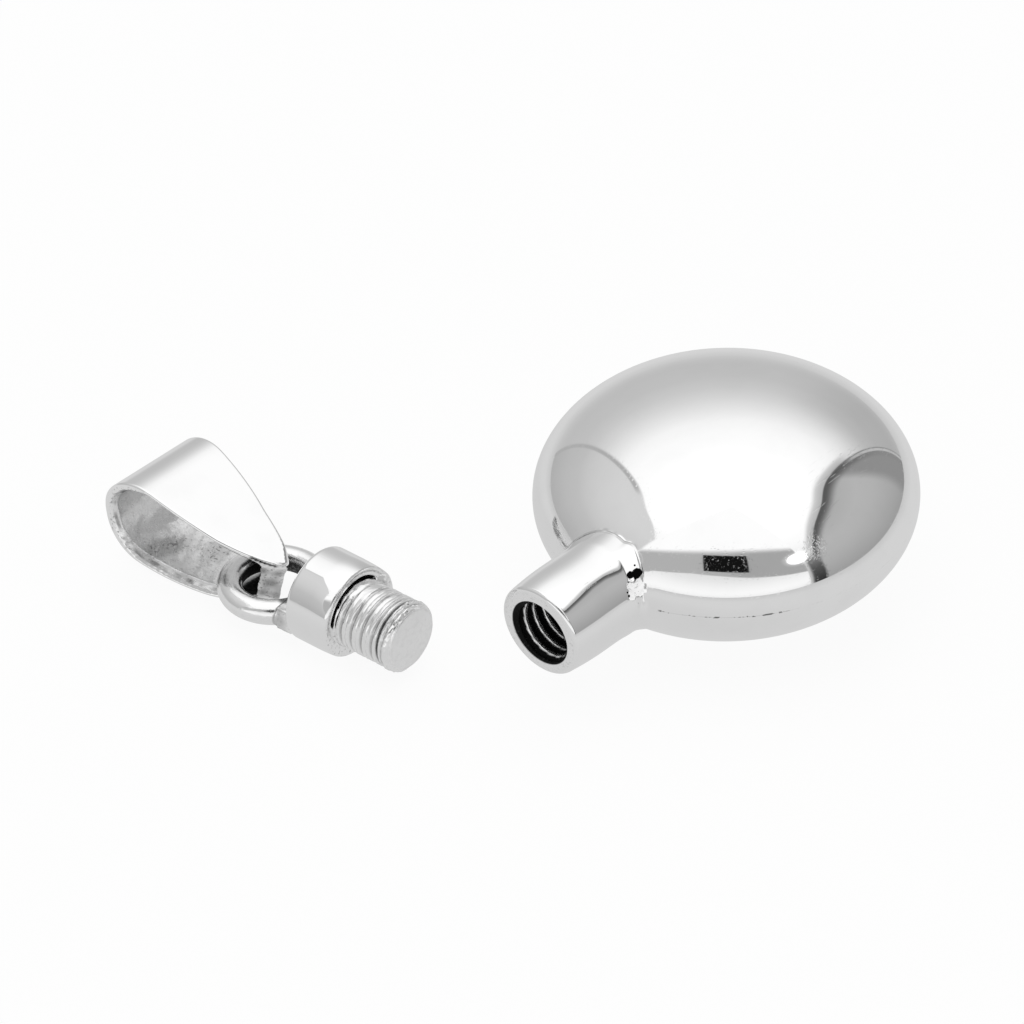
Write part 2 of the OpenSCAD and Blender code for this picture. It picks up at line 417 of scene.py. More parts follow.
def bottle_mesh():
    """Points, faces, normals and finish masks of the bottle."""
    turn = np.linspace(0, TURN, SEGMENTS, endpoint=False)
    stretches, xs, radii = zip(*bottle_rings(turn))
    stretch = np.array(stretches)[:, None]
    x, radius = np.array(xs), np.array(radii)
    grid = np.stack([x, radius * np.cos(turn), radius * np.sin(turn)], -1)

    # The solder round the neck is smooth but for its patch.
    solder = np.where(stretch == "fillet", 1.0, 0.0)
    solder = np.maximum(solder, (stretch == "body") * ramp(x, 9.2, 9.7) * ramp(radius, 3.9, 3.2))
    lumps = 0.6 * ripple(grid, 0.9, 11) + 0.4 * ripple(grid, 0.4, 12)
    patch = solder_patch(grid, x, radius, turn, stretch)
    rise = 0.003 * solder * lumps - 0.02 * patch * ripple(grid, 0.35, 14)
    grid = grid + grid_normals(grid) * rise[:, :, None]
    # The shading is that of a neck without its lean.
    normal = bottle_shading(grid_normals(grid), x, turn, stretch, patch)
    grid[:, :, 2] += neck_lean(x, radius)

    points = np.array([(-BODY_R, 0, 0), *grid.reshape(-1, 3), (BODY_WALL - BODY_R, 0, 0)])
    normals = np.concatenate([[(-1, 0, 0)], normal.reshape(-1, 3), [(1, 0, 0)]])
    masks = bottle_masks(x, radius, turn, stretch, solder, patch, lumps)
    return points, ring_faces(len(grid)), normals, masks


# Shapes given by a distance field: negative inside the metal, in millimetres


def blend_min(a, b, soft):
    """The union of two fields, with a fillet of about the given size."""
    h = np.clip(0.5 + 0.5 * (b - a) / soft, 0, 1)
    return b + (a - b) * h - soft * h * (1 - h)


def blend_max(a, b, soft):
    """What two fields share, with its edge rounded to about the given size."""
    return -blend_min(-a, -b, soft)


def gradient(field, points):
    """Direction in which a field grows fastest, and the field itself."""
    step = 0.004
    parts = []
    for axis in np.eye(3):
        parts.append((field(points + step * axis) - field(points - step * axis)) / (2 * step))
    return np.stack(parts, -1), field(points)


def polygonise(form, surface, low, high):
    """A closed mesh of quads on a field's zero surface. The form gives the mesh its faces, and
    its points then settle on the surface, which may differ from the form by less than a cell."""
    settling_steps = 5
    low = np.array(low)
    counts = np.ceil((np.array(high) - low) / CELL).astype(int) + 1
    axes = [low[i] + CELL * np.arange(counts[i]) for i in range(3)]
    value = form(np.stack(np.meshgrid(*axes, indexing="ij"), -1))
    inside = value < 0
    cells = counts - 1
    corners = np.array([(i, j, k) for i in (0, 1) for j in (0, 1) for k in (0, 1)])
    filled = sum(
        inside[i : i + cells[0], j : j + cells[1], k : k + cells[2]].astype(np.int8)
        for i, j, k in corners)
    crossed = (filled > 0) & (filled < len(corners))
    index = np.full(cells, -1)
    index[crossed] = np.arange(crossed.sum())
    at = np.argwhere(crossed)

    total = np.zeros((len(at), 3))
    hits = np.zeros(len(at))
    for axis in np.eye(3, dtype=int):
        for corner in corners[(corners * axis).sum(1) == 0]:
            v0 = value[tuple((at + corner).T)]
            v1 = value[tuple((at + corner + axis).T)]
            cut = (v0 < 0) != (v1 < 0)
            share = np.where(cut, v0 / np.where(cut, v0 - v1, 1), 0)
            total += (corner + share[:, None] * axis) * cut[:, None]
            hits += cut
    points = low + CELL * (at + total / hits[:, None])
    for _ in range(settling_steps):
        slope, distance = gradient(surface, points)
        move = slope * (distance / np.maximum((slope**2).sum(1), 0.05))[:, None]
        points -= np.clip(move, -CELL / 2, CELL / 2)

    faces = []
    for i in range(3):
        j, k = (i + 1) % 3, (i + 2) % 3
        lower = np.take(inside, range(counts[i] - 1), axis=i)
        upper = np.take(inside, range(1, counts[i]), axis=i)
        edge = np.argwhere(lower != upper)
        leaving = lower[tuple(edge.T)]
        step_j = np.eye(3, dtype=int)[j]
        step_k = np.eye(3, dtype=int)[k]
        quad = [index[tuple((edge - step).T)] for step in (step_j + step_k, step_k, 0 * step_k, step_j)]
        quad = np.stack(quad, 1)
        faces.append(np.where(leaving[:, None], quad, quad[:, ::-1]))
    slope, _ = gradient(surface, points)
    normals = slope / np.linalg.norm(slope, axis=1)[:, None]
    return points, np.concatenate(faces).tolist(), normals


# Stopper


def around_stem(p):
    """Distance from the stem's axis, and angle round it in degrees."""
    return np.hypot(p[..., 1], p[..., 2]), np.degrees(np.arctan2(p[..., 1], -p[..., 2])) % 360


def pocket_share(angle):
    """How deep the open pocket beside the stem is round the collar's front, from 0 to 1."""
    return window(angle, *POCKET_ANGLES, 15)


def pocket_radius(share):
    """Radius of the pocket's outer wall, which meets the stem where there is no pocket."""
    least = STEM_R - 0.06
    return least + (POCKET_R - least) * share


def solder_share(angle):
    """How much solder stands between the stem and the collar's front, from 0 to 1."""
    return window(angle, *SOLDER_ANGLES, 25)


def collar_field(p):
    """The collar: it narrows towards its front, and solder stands up beside its pocket."""
    radius, angle = around_stem(p)
    x = p[..., 0] - SOLDER_BEAD * solder_share(angle) * ramp(p[..., 0], -1.2, 0)
    half = COLLAR_L / 2
    rounding = np.where(x > -half, COLLAR_FRONT_ROUND, COLLAR_BACK_ROUND)
    on_top = ramp(np.cos(np.radians(angle - 190)), 0.5, 0.87)
    crown = COLLAR_CROWN * (0.35 + 0.65 * on_top) * np.clip(1 + x / COLLAR_CROWN_L, 0, 1.2) ** 2
    from_middle = abs(x + half) - half + rounding
    from_wall = radius + crown - COLLAR_R + rounding
    outside = np.hypot(np.maximum(from_middle, 0), np.maximum(from_wall, 0))
    solid = outside + np.minimum(np.maximum(from_middle, from_wall), 0) - rounding
    share = pocket_share(angle)
    # The pocket narrows to its ends, and is a little wider on the near side than on top.
    from_stem = np.hypot(p[..., 1] + 0.04, p[..., 2] + 0.03)
    pocket = np.maximum(from_stem - pocket_radius(share), -x - POCKET_DEPTH * ramp(share, 0, 0.3))
    return blend_max(solid, -pocket, 0.05)


def from_groove(x, angle):
    """Distance along the stem from the nearest groove of its thread."""
    return abs((x / PITCH + angle / 360 + GROOVE_PHASE) % 1 - 0.5) * PITCH


def from_last_groove(x, angle):
    """Distance along the stem from its last groove, which leans a little."""
    return abs(x - LAST_GROOVE_X - 0.1 * np.sin(np.radians(angle)))


def stem_radius(x, angle):
    """The worn thread: wide flat crests, narrow grooves with a faint line between them, and a
    last groove that is cut deeper. Solder fills the first grooves on the far side and above."""
    groove = from_groove(x, angle)
    filled = window(angle, 60, 190, 40) * ramp(x, 1.9, 0.9)
    depth = GROOVE_DEPTH * ramp(groove, GROOVE_HALF_W, 0.02) * (1 - 0.8 * filled)
    depth = depth + 0.03 * ramp(PITCH / 2 - groove, 0.08, 0.0) * (1 - filled)
    last = from_last_groove(x, angle)
    depth = np.maximum(depth * ramp(last, 0.1, 0.25), LAST_GROOVE_DEPTH * ramp(last, 0.13, 0.02))
    return STEM_R - depth


def stem_field(p):
    """The stem. Its slanted sides are scaled, so that the field grows by about 1 a millimetre."""
    radius, angle = around_stem(p)
    x = p[..., 0]
    side = (radius - stem_radius(x, angle)) * 0.85
    cone = (radius + x - (STEM_R + STEM_L - STEM_CHAMFER)) * 0.7
    end = np.maximum(x - STEM_L, -x - COLLAR_L / 2)
    return blend_max(blend_max(side, cone, 0.06), end, 0.06)


def eye_field(p):
    """The wire eye, with a foot of solder between it and the collar's back."""
    x = p[..., 0] + COLLAR_L + EYE_BACK
    z = p[..., 2] + EYE_DROP
    ring = np.hypot(np.hypot(x, p[..., 1]) - EYE_R, z) - EYE_WIRE_R
    from_middle = abs(p[..., 0] + COLLAR_L + FOOT_L / 2)
    box = np.stack([
        from_middle - FOOT_L / 2 - 0.05, abs(p[..., 1]) - FOOT_HALF_W, abs(z) - FOOT_HALF_H], -1)
    box = box + FOOT_ROUND
    foot = np.linalg.norm(np.maximum(box, 0), axis=-1) + np.minimum(box.max(-1), 0) - FOOT_ROUND
    return blend_min(ring, foot, 0.07)


def stopper_form(p):
    _, angle = around_stem(p)
    fillet = 0.05 + 0.8 * solder_share(angle)
    front = blend_min(collar_field(p), stem_field(p), fillet)
    return blend_min(front, eye_field(p), 0.08)


def foot_share(x):
    """1 along the foot of solder behind the collar, 0 elsewhere."""
    return window(x, -COLLAR_L - FOOT_L, -COLLAR_L - 0.05, 0.03)


def stopper_solder(p):
    """How much a place on the stopper is rough solder, from 0 to 1."""
    radius, angle = around_stem(p)
    x = p[..., 0]
    front = (0.3 + 0.7 * solder_share(angle)) * window(x, -0.02, 0.7, 0.15)
    front = front * (1 - pocket_share(angle)) * ramp(radius, 2.75, 2.4)
    back = foot_share(x) * ramp(abs(p[..., 1]), 2.6, 2.2)
    return np.maximum(front, back)


def ring_line(p):
    """The thin line where the collar's wall meets the ring inside it, beside the pocket."""
    radius, angle = around_stem(p)
    on_face = window(p[..., 0], -0.1, 0.1, 0.05) * pocket_share(angle)
    return ramp(abs(radius - RING_LINE_R), 0.05, 0.01) * on_face


def stopper_surface(p):
    """The form with uneven solder, worn thread and the thin lines of its joints."""
    x = p[..., 0]
    solder = stopper_solder(p)
    stem = window(x, 0.2, STEM_L + 0.1, 0.2)
    lumps = 0.6 * ripple(p, 0.8, 21) + 0.4 * ripple(p, 0.33, 22)
    worn = 0.6 * ripple(p, 0.9, 23) + 0.4 * ripple(p, 0.3, 24)
    flange = window(x, LAST_GROOVE_X + 0.15, STEM_L - 0.2, 0.1)
    joint = ramp(abs(x + COLLAR_L + FOOT_L), 0.05, 0.01)
    marks = 0.035 * joint + 0.035 * ring_line(p)
    uneven = 0.015 * solder * lumps + (0.006 * stem + 0.03 * flange) * worn
    return stopper_form(p) + marks + uneven - 0.03 * flange


def pocket_shade(p):
    """How much painted shade a place in the collar's pocket gets, from 0 to 1."""
    radius, angle = around_stem(p)
    x = p[..., 0]
    wall = pocket_radius(pocket_share(angle))
    inside = ramp(x, -0.05, -0.2) * ramp(radius, wall + 0.06, wall + 0.01)
    inside = inside * ramp(x, -COLLAR_L + 0.3, -COLLAR_L + 0.6)
    # The painted shade is lighter where the pocket's wall catches light.
    return inside * (1 - 0.35 * window(angle, 185, 212, 8))


def stopper_masks(p):
    """Finish masks of the stopper."""
    radius, angle = around_stem(p)
    x, y, z = p.T
    solder = stopper_solder(p)
    pocket = pocket_shade(p)
    face = window(x, -0.1, 0.02, 0.03) * ramp(radius, 2.62, 2.55)
    stem = ramp(x, 0.02, 0.12)
    end = ramp(x, STEM_L - 0.12, STEM_L - 0.04)
    # Painted shade darkens the last groove and the grooves of the thread.
    cut = ramp(from_last_groove(x, angle), 0.14, 0.03) * ramp(radius, 1.95, 1.82)
    groove = ramp(from_groove(x, angle), 0.12, 0.02) * ramp(radius, 1.96, 1.86) * stem
    groove = groove * ramp(x, STEM_L - 0.1, STEM_L - 0.3)
    joint = ramp(abs(x + COLLAR_L + FOOT_L), 0.06, 0.02)
    # The eye gets painted shade where it faces the bail inside it, and in the corner at its foot.
    eye = ramp(x, -COLLAR_L - 0.6, -COLLAR_L - 0.9)
    around_eye = np.hypot(x + COLLAR_L + EYE_BACK, y)
    inner = eye * ramp(z, -0.5, -0.75)
    far_arm = inner * ramp(y, 0.6, 1.1) * ramp(around_eye, 2.3, 2.0)
    in_bail = inner * ramp(around_eye, 2.05, 1.85) * ramp(x, -7.0, -7.4)
    corner = ramp(np.hypot(x + 3.95, y + 1.35), 0.5, 0.2) * ramp(z, -0.6, -0.3)
    # Darker in blotches low on the foot.
    blotchy = foot_share(x) * ramp(z, 0.1, -0.2) * np.clip(0.5 + 0.6 * ripple(p, 1.1, 25), 0, 1)
    matte = np.maximum.reduce([
        0.5 * solder, 0.35 * stem, end, 0.35 * eye, 0.4 * face, 0.3 * pocket, in_bail])
    grime_and_shade = np.maximum.reduce([
        pocket, 0.8 * cut, 0.45 * groove, 0.4 * joint, 0.6 * ring_line(p), 0.85 * far_arm, in_bail,
        0.8 * corner, 0.3 * blotchy])
    pitted = np.maximum(0.8 * face * (1 - pocket_share(angle)), 0.5 * solder)
    return {"matte": matte, "grime_and_shade": grime_and_shade, "pitted": pitted}


def stopper_mesh():
    """Points, faces, normals and finish masks of the stopper."""
    side = EYE_R + EYE_WIRE_R + ROOM
    low = (-COLLAR_L - EYE_BACK - side, -side, -COLLAR_R - ROOM)
    high = (STEM_L + ROOM, side, COLLAR_R + ROOM)
    points, faces, normals = polygonise(stopper_form, stopper_surface, low, high)
    return points, faces, normals, stopper_masks(points)


# Bail


def bow_centre(radius):
    """Middle of an arc that passes the tip's corner and touches the fold's circle from outside."""
    tip = np.array([0, TIP_HALF_H])
    to_fold = np.array([FOLD_X, 0]) - tip
    distance = np.linalg.norm(to_fold)
    unit = to_fold / distance
    along = (radius**2 - (radius - FOLD_R) ** 2 + distance**2) / (2 * distance)
    across = math.sqrt(radius**2 - along**2)
    return tip + unit * along + np.array([unit[1], -unit[0]]) * across


FRONT_CENTRE = bow_centre(FRONT_BOW_R)
BACK_CENTRE = bow_centre(BACK_BOW_R) * (1, -1)


def bail_outline(p):
    """Distance from the bail's outside, seen from its side."""
    x, z = p[..., 0], p[..., 2]
    fold = np.hypot(x - FOLD_X, z) - FOLD_R
    front = np.hypot(x - FRONT_CENTRE[0], z - FRONT_CENTRE[1]) - FRONT_BOW_R
    back = np.hypot(x - BACK_CENTRE[0], z - BACK_CENTRE[1]) - BACK_BOW_R
    up = math.atan2(-FRONT_CENTRE[1], FOLD_X - FRONT_CENTRE[0])
    down = math.atan2(-BACK_CENTRE[1], FOLD_X - BACK_CENTRE[0])
    angle = np.arctan2(z, x - FOLD_X)
    on_fold = (angle < up) & (angle > down)
    return np.where(on_fold, fold, np.maximum(front, back))


def bail_plan(p):
    """Distance from the bail's outline, seen from its front: blunt at the tip, wide at the fold."""
    length = FOLD_X + FOLD_R
    power = 1 / BLUNT
    lean = TIP_LEAN * np.clip(1 - p[..., 0] / TIP_LEAN_L, 0, 1) ** 1.2
    across = abs(p[..., 1] + lean) / (BAND_HALF_W * (1 - 0.06 * ramp(p[..., 2], 1.2, -1.2)))
    along = np.maximum(1 - p[..., 0] / length, 0)
    value = across**power + along**2 - 1
    slope = np.hypot(power * across ** (power - 1) / BAND_HALF_W, 2 * along / length)
    return value / np.maximum(slope, 0.15)


def bail_form(p):
    """The folded band, thinner towards its edges and closed at the tip."""
    outline = bail_outline(p)
    plan = bail_plan(p)
    at_edge = ramp(plan, -0.5, -0.02)
    at_fold = ramp(p[..., 0], FOLD_X - 0.5, FOLD_X + 1.5)
    thickness = BAND_T + (BAND_EDGE_T - BAND_T) * at_edge * (1 - 0.5 * at_fold)
    inside = blend_max(outline + thickness, TIP_WALL - p[..., 0], 0.3)
    band = blend_max(outline, -inside, 0.05)
    facet = p @ np.array(TIP_FACET_FACING) - TIP_FACET_AT
    return blend_max(blend_max(band, plan, 0.16), facet, 0.06)


def bail_edge(p):
    """How close a place is to the band's cut edges, from 0 to 1."""
    return ramp(bail_plan(p), -0.3, -0.1)


def bail_inside(p):
    """1 on the inside of the band, 0 on its outside."""
    return ramp(bail_outline(p), -0.2, -0.45)


def bail_surface(p):
    """The form with its filed front, lumps inside and small pits along the cut edges."""
    inside = bail_inside(p)
    edge = bail_edge(p) * ramp(bail_outline(p), -0.1, -0.25)
    lumps = 0.6 * ripple(p, 1.6, 31) + 0.4 * ripple(p, 0.5, 32)
    pits = 0.5 * ripple(p, 0.7, 33) + 0.5 * ripple(p, 0.28, 34)
    filed = np.clip(1 - p[..., 0] / TIP_FILED_L, 0, 1) ** 2 * ramp(p[..., 2], 0.6, 1.2)
    return bail_form(p) - TIP_FILED * filed + 0.02 * inside * lumps + 0.008 * edge * pits


def bail_masks(p):
    """Finish masks of the bail."""
    x, y, z = p.T
    outline, plan = bail_outline(p), bail_plan(p)
    inside = bail_inside(p)
    edge = bail_edge(p) * ramp(outline, -0.1, -0.25)
    # Painted shade in the corner behind the closed tip, and blotches with fine pits along the middle.
    corner = inside * (1 - edge) * ramp(x, 2.6, 1.7)
    blotch = ramp(ripple(p, 2.6, 35), -0.1, 1.2) * window(x, 3, 7.4, 1.2)
    tip_side = edge * ramp(x, 1.6, 1.1) * ramp(z, 1.35, 1.15)
    stains = tip_side * np.clip(0.9 + 0.5 * ripple(p, 0.9, 37), 0, 1.5)
    # A broken dark line runs inside the band's edge, where its inside starts.
    rim_line = window(plan, -0.3, -0.2, 0.06) * ramp(outline, -0.16, -0.22) * ramp(x, 0.8, 1.6)
    rim_line = rim_line * np.clip(0.6 + 0.5 * ripple(p, 0.8, 36), 0, 1)
    # A line of painted shadow lies under the front's near edge beside the tip.
    under_front = window(outline, -0.1, 0, 0.04) * ramp(plan, -0.1, -0.03)
    under_front = under_front * window(x, 0.3, 1.3, 0.25) * ramp(y, -0.3, -0.1) * ramp(z, 0.9, 1.2)
    matte = np.maximum(0.8 * inside, 0.45 * edge)
    grime_and_shade = np.maximum.reduce([
        corner, inside * (1 - edge) * (0.1 + 0.3 * blotch), 0.45 * stains, 0.65 * rim_line,
        0.9 * under_front])
    pitted = np.maximum.reduce([
        inside * (0.15 + 0.85 * blotch), edge * ramp(x, 7.5, 9.2), tip_side])
    return {"matte": matte, "grime_and_shade": grime_and_shade, "pitted": pitted}


def bail_mesh():
    """Points, faces, normals and finish masks of the bail."""
    side = BAND_HALF_W + ROOM
    low = (-ROOM, -side, -FOLD_R - ROOM)
    high = (FOLD_X + FOLD_R + ROOM, side, FOLD_R + ROOM)
    points, faces, normals = polygonise(bail_form, bail_surface, low, high)
    return points, faces, normals, bail_masks(points)


# Shader nodes


class Number:
    """A value worked out by shader nodes, so that a formula reads as one."""

    def __init__(self, tree, socket):
        self.tree = tree
        self.socket = socket

    def math(self, operation, *others):
        node = self.tree.nodes.new("ShaderNodeMath")
        node.operation = operation
        for pin, value in zip(node.inputs, (self, *others)):
            plug(self.tree, value, pin)
        return Number(self.tree, node.outputs[0])

    def __add__(self, other):
        return self.math("ADD", other)

    def __sub__(self, other):
        return self.math("SUBTRACT", other)

    def __mul__(self, other):
        return self.math("MULTIPLY", other)

    def __truediv__(self, other):
        return self.math("DIVIDE", other)

    def __pow__(self, other):
        return self.math("POWER", other)

    __radd__ = __add__
    __rmul__ = __mul__

    def __rsub__(self, other):
        return self * -1 + other

    def clamp(self, low, high):
        return self.math("MAXIMUM", low).math("MINIMUM", high)

    def ramp(self, low, high):
        """0 at low, 1 at high and smooth between."""
        node = self.tree.nodes.new("ShaderNodeMapRange")
        node.interpolation_type = "SMOOTHSTEP"
        plug(self.tree, self, node.inputs["Value"])
        plug(self.tree, low, node.inputs["From Min"])
        plug(self.tree, high, node.inputs["From Max"])
        return Number(self.tree, node.outputs["Result"])

    def between(self, low, high, soft):
        """1 between low and high, falling to 0 over soft, half of it on each side."""
        half = soft / 2
        return self.ramp(low - half, low + half) * (1 - self.ramp(high - half, high + half))

    def steps(self, stops):
        """Straight lines through pairs of value and result, level beyond the ends."""
        low, high = stops[0][0], stops[-1][0]
        top = max(result for _, result in stops)
        node = self.tree.nodes.new("ShaderNodeValToRGB")
        plug(self.tree, (self - low) / (high - low), node.inputs["Fac"])
        elements = node.color_ramp.elements
        while len(elements) < len(stops):
            elements.new(0.5)
        for element, (value, result) in zip(elements, stops):
            element.position = (value - low) / (high - low)
            element.color = (*[result / top] * 3, 1)
        return Number(self.tree, node.outputs["Color"]) * top


def plug(tree, value, pin):
    if isinstance(value, Number):
        tree.links.new(value.socket, pin)
    else:
        pin.default_value = value


def mix(a, b, share):
    """a where share is 0 and b where it is 1."""
    return share * (b - a) + a


def coordinates(tree, vector):
    """The three coordinates of a vector's socket."""
    split = tree.nodes.new("ShaderNodeSeparateXYZ")
    tree.links.new(vector, split.inputs[0])
    return [Number(tree, pin) for pin in split.outputs]


def seen_or_mirrored(tree, seen, mirrored):
    """A shader that the camera sees as one shader, while silver mirrors the other."""
    path = tree.nodes.new("ShaderNodeLightPath")
    choose = tree.nodes.new("ShaderNodeMixShader")
    tree.links.new(path.outputs["Is Camera Ray"], choose.inputs["Fac"])
    tree.links.new(mirrored.outputs[0], choose.inputs[1])
    tree.links.new(seen.outputs[0], choose.inputs[2])
    return choose.outputs[0]


# Studio


def light_of(grey):
    """Strength of the light that silver mirrors as a grey of 0 to 255."""
    return ((grey / 255 + 0.055) / 1.055) ** 2.4 / 0.95


def arch(azimuth, height, middle, left, right, top, power):
    """Outline of a panel with round upper corners: below 1 inside it and 1 on its edge. It
    reaches so many degrees to the left and to the right of its middle."""
    across = ((azimuth - middle) / right).math("MAXIMUM", (middle - azimuth) / left) ** power
    up = (height / top).clamp(0, 9) ** power
    return (across + up) ** (1 / power)


def tent(azimuth, height):
    """The light tent, bright overhead and a little greyer low on the right."""
    grey = height.steps([
        (0, 195), (4, 190), (8, 188), (20, 191), (28, 200), (34, 212), (40, 228), (46, 245), (52, 252),
        (58, 255), (66, 262)])
    return grey - 15 * azimuth.ramp(8, 30) * (1 - height.ramp(26, 42)) * azimuth.between(0, 60, 20)


def with_front(grey, x, y, z, azimuth, height):
    """Adds the wall behind the camera, over a white table edge, with the camera's dark body."""
    across = x / y
    up = z / y * -1
    strip = height.steps([(0, 240), (4, 248), (8, 249), (15, 244), (20, 238), (25, 231), (30, 226)])
    wall = mix(164, 175, across.ramp(-0.15, 0.1))
    wall = mix(wall, 254, up.ramp(1.4, 1.78))
    edge = across.steps([
        (-1, 0.5), (-0.6, 0.51), (-0.2, 0.55), (0.1, 0.62), (0.45, 0.68), (0.85, 0.63), (1.6, 0.48)])
    front = mix(strip, wall, up.ramp(edge - 0.02, edge + 0.02))
    level = up - 0.13 * across
    slanted = across - 0.16 * (level - 1.055)
    dark_body = across.ramp(-0.191, -0.179) * slanted.ramp(0.371, 0.359)
    front = mix(front, 20, dark_body * level.between(0.74, 1.37, 0.015))
    behind = azimuth.math("ABSOLUTE").ramp(118.5, 119.5) * (1 - azimuth.between(60, 136, 1))
    return mix(grey, front, behind)


def with_right_panel(grey, azimuth, height):
    """Adds the panel on the right, with soft dark borders, and the post beyond it."""
    edge = arch(azimuth, height, *RIGHT_PANEL)
    panel = height.steps([(0, 156), (10, 164), (20, 171), (30, 177), (40, 180), (58, 168)])
    panel = mix(141, panel, azimuth.ramp(54, 61))
    panel = mix(panel, 88, edge.ramp(0.88, 0.985) * azimuth.ramp(43, 50))
    near_side = azimuth.ramp(58, 50) * height.ramp(46, 36)
    panel = mix(panel, 205, 0.7 * near_side * edge.between(0.958, 0.986, 0.006))
    glow = mix(184, grey, edge.ramp(1, 1.15))
    grey = mix(grey, glow, height.ramp(36, 46) * edge.ramp(1.1, 1.05) * azimuth.ramp(20, 30))
    grey = mix(grey, panel, edge.ramp(1.006, 0.994))
    post = height.steps([(0, 50), (10, 67), (20, 85), (30, 120), (40, 160)])
    return mix(grey, post, azimuth.between(126, 134, 2.5) * (1 - height.ramp(32, 42)))


def with_left_panel(grey, azimuth, height):
    """Adds the panel on the left."""
    edge = arch(azimuth, height, *LEFT_PANEL)
    panel = height.steps([(0, 174), (5, 178), (15, 185), (25, 190), (30, 197), (38, 205), (50, 211)])
    panel = mix(panel, 172, azimuth.ramp(-70, -60) * edge.between(0.96, 0.99, 0.015))
    return mix(grey, panel, edge.ramp(1.008, 0.992) * azimuth.ramp(-118.5, -117.5))


def with_lamp(grey, x, y, z):
    """Adds a lamp with a soft glow, seen past the right panel's edge."""
    towards = (
        x * (math.sin(LAMP_AZIMUTH) * math.cos(LAMP_HEIGHT))
        + y * (math.cos(LAMP_AZIMUTH) * math.cos(LAMP_HEIGHT))
        + z * math.sin(LAMP_HEIGHT))
    grey = grey + 25 * towards.ramp(math.cos(math.radians(9)), math.cos(math.radians(5.5)))
    return mix(grey, 275, towards.ramp(math.cos(math.radians(6.4)), math.cos(math.radians(5.2))))


def studio_world():
    """The world: silver mirrors the tent and what stands in it, and the camera sees it plain."""
    world = bpy.data.worlds.new("studio")
    bpy.context.scene.world = world
    world.use_nodes = True
    tree = world.node_tree
    tree.nodes.clear()
    place = tree.nodes.new("ShaderNodeTexCoord")
    x, y, z = coordinates(tree, place.outputs["Generated"])
    azimuth = x.math("ARCTAN2", y) * math.degrees(1)
    height = z.clamp(-1, 1).math("ARCSINE") * math.degrees(1)
    grey = tent(azimuth, height)
    grey = with_front(grey, x, y, z, azimuth, height)
    grey = with_right_panel(grey, azimuth, height)
    grey = with_left_panel(grey, azimuth, height)
    grey = with_lamp(grey, x, y, z)

    mirrored = tree.nodes.new("ShaderNodeBackground")
    tree.links.new(light_of(grey).socket, mirrored.inputs["Color"])
    plain = tree.nodes.new("ShaderNodeBackground")
    plain.inputs["Color"].default_value = (0.985, 0.985, 0.985, 1)
    out = tree.nodes.new("ShaderNodeOutputWorld")
    tree.links.new(seen_or_mirrored(tree, plain, mirrored), out.inputs["Surface"])
    world.cycles.sampling_method = "NONE"


def floor():
    """Pale floor. The silver mirrors it as a glow that meets the wall's grey in the distance,
    and the camera sees it nearly white with a faint shadow."""
    half = 0.9
    corners = [(-half, -half, 0), (half, -half, 0), (half, half, 0), (-half, half, 0)]
    mesh = bpy.data.meshes.new("floor")
    mesh.from_pydata(corners, [], [(0, 1, 2, 3)])
    ground = bpy.data.objects.new("floor", mesh)
    bpy.context.scene.collection.objects.link(ground)
    material = bpy.data.materials.new("pale_floor")
    material.use_nodes = True
    tree = material.node_tree
    tree.nodes.clear()
    place = tree.nodes.new("ShaderNodeTexCoord")
    x, y = [value / MM for value in coordinates(tree, place.outputs["Object"])[:2]]
    distance = (x * x + y * y) ** 0.5
    grey = distance.math("LOGARITHM", 10).steps([
        (1.2, 205), (1.45, 210), (1.7, 210), (1.95, 204), (2.5, 198), (2.95, 195)])
    mirrored = tree.nodes.new("ShaderNodeEmission")
    tree.links.new(light_of(grey).socket, mirrored.inputs["Color"])
    paper = tree.nodes.new("ShaderNodeBsdfDiffuse")
    paper.inputs["Color"].default_value = (0.12, 0.12, 0.12, 1)
    glow = tree.nodes.new("ShaderNodeEmission")
    glow.inputs["Strength"].default_value = 0.9
    seen = tree.nodes.new("ShaderNodeAddShader")
    tree.links.new(paper.outputs[0], seen.inputs[0])
    tree.links.new(glow.outputs[0], seen.inputs[1])
    out = tree.nodes.new("ShaderNodeOutputMaterial")
    tree.links.new(seen_or_mirrored(tree, seen, mirrored), out.inputs["Surface"])
    mesh.materials.append(material)


def camera():
    data = bpy.data.cameras.new("camera")
    data.sensor_width = SENSOR
    data.lens = LENS
    data.clip_start = 0.01
    data.clip_end = 10
    eye = bpy.data.objects.new("camera", data)
    bpy.context.scene.collection.objects.link(eye)
    at, to = Vector(CAMERA_AT) * MM, Vector(CAMERA_TO) * MM
    eye.location = at
    eye.rotation_euler = (to - at).to_track_quat("-Z", "Y").to_euler()
    bpy.context.scene.camera = eye


# Finish


def noise(tree, place, scale, detail=2.0, roughness=0.5, stretch=None, turn=None):
    """Noise about 0.5 at a number of waves per millimetre. A stretch and a turn make lines of it."""
    if stretch:
        mapping = tree.nodes.new("ShaderNodeMapping")
        mapping.inputs["Scale"].default_value = stretch
        mapping.inputs["Rotation"].default_value = turn
        tree.links.new(place, mapping.inputs["Vector"])
        place = mapping.outputs[0]
    node = tree.nodes.new("ShaderNodeTexNoise")
    node.inputs["Scale"].default_value = scale
    node.inputs["Detail"].default_value = detail
    node.inputs["Roughness"].default_value = roughness
    tree.links.new(place, node.inputs["Vector"])
    return Number(tree, node.outputs["Fac"])


def attribute(tree, name):
    node = tree.nodes.new("ShaderNodeAttribute")
    node.attribute_name = name
    return node


def mask(tree, name):
    return Number(tree, attribute(tree, name).outputs["Fac"])


